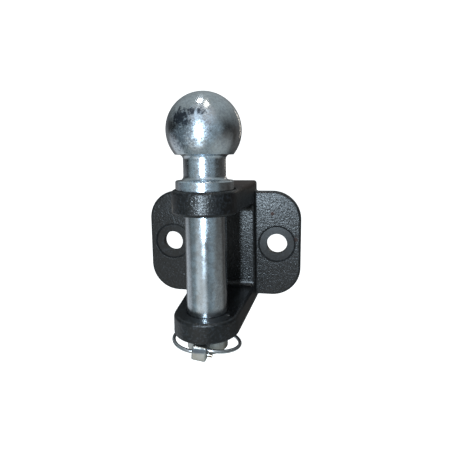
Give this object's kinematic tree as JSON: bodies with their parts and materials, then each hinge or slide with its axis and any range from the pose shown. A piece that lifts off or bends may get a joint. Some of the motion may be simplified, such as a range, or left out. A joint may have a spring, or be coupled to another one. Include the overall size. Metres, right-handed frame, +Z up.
{
  "type": "clevis hitch",
  "caption": "Two-bolt cast clevis hitch with an open jaw and a tow ball on a drop-through pin, kept in by a linch pin with a spring ring.",
  "frame": {"origin": "on the casting's flat back face, midway between the two bolt holes", "axes": "+X to the right seen from behind the vehicle, +Y into the vehicle, square to the back face, +Z up, along the ball pin"},
  "size_m": [0.1296, 0.0921, 0.1759],
  "materials": {
    "black_paint": "gloss black paint over a sand-cast skin",
    "turned_steel": "bright turned and zinc plated",
    "zinc_plate": "satin zinc plate",
    "spring_wire": "bright drawn wire"
  },
  "bodies": {
    "jaw": {"jaw_casting": "black_paint"},
    "ball_pin": {"ball_pin": "turned_steel"},
    "linch_pin": {"linch_pin": "zinc_plate"},
    "linch_ring": {"linch_ring": "spring_wire"}
  },
  "joints": [
    {"name": "ball_pin_turn", "type": "hinge", "parent": "jaw", "child": "ball_pin", "pos_m": [0, -0.0668, 0], "axis": [0, 0, 1], "continuous": true},
    {"name": "linch_pin_pull", "type": "slide", "parent": "ball_pin", "child": "linch_pin", "axis": [0, -1, 0], "range_m": [0, 0.036]},
    {"name": "ring_open", "type": "hinge", "parent": "linch_pin", "child": "linch_ring", "pos_m": [-0.00014, -0.08805, -0.05619], "axis": [-0.9907, 0, 0.1357], "range_deg": [0, 150.5]}
  ],
  "couplings": [
    {"joint": "ring_open", "follows": "linch_pin_pull", "rad_per_m": 72.722}
  ]
}
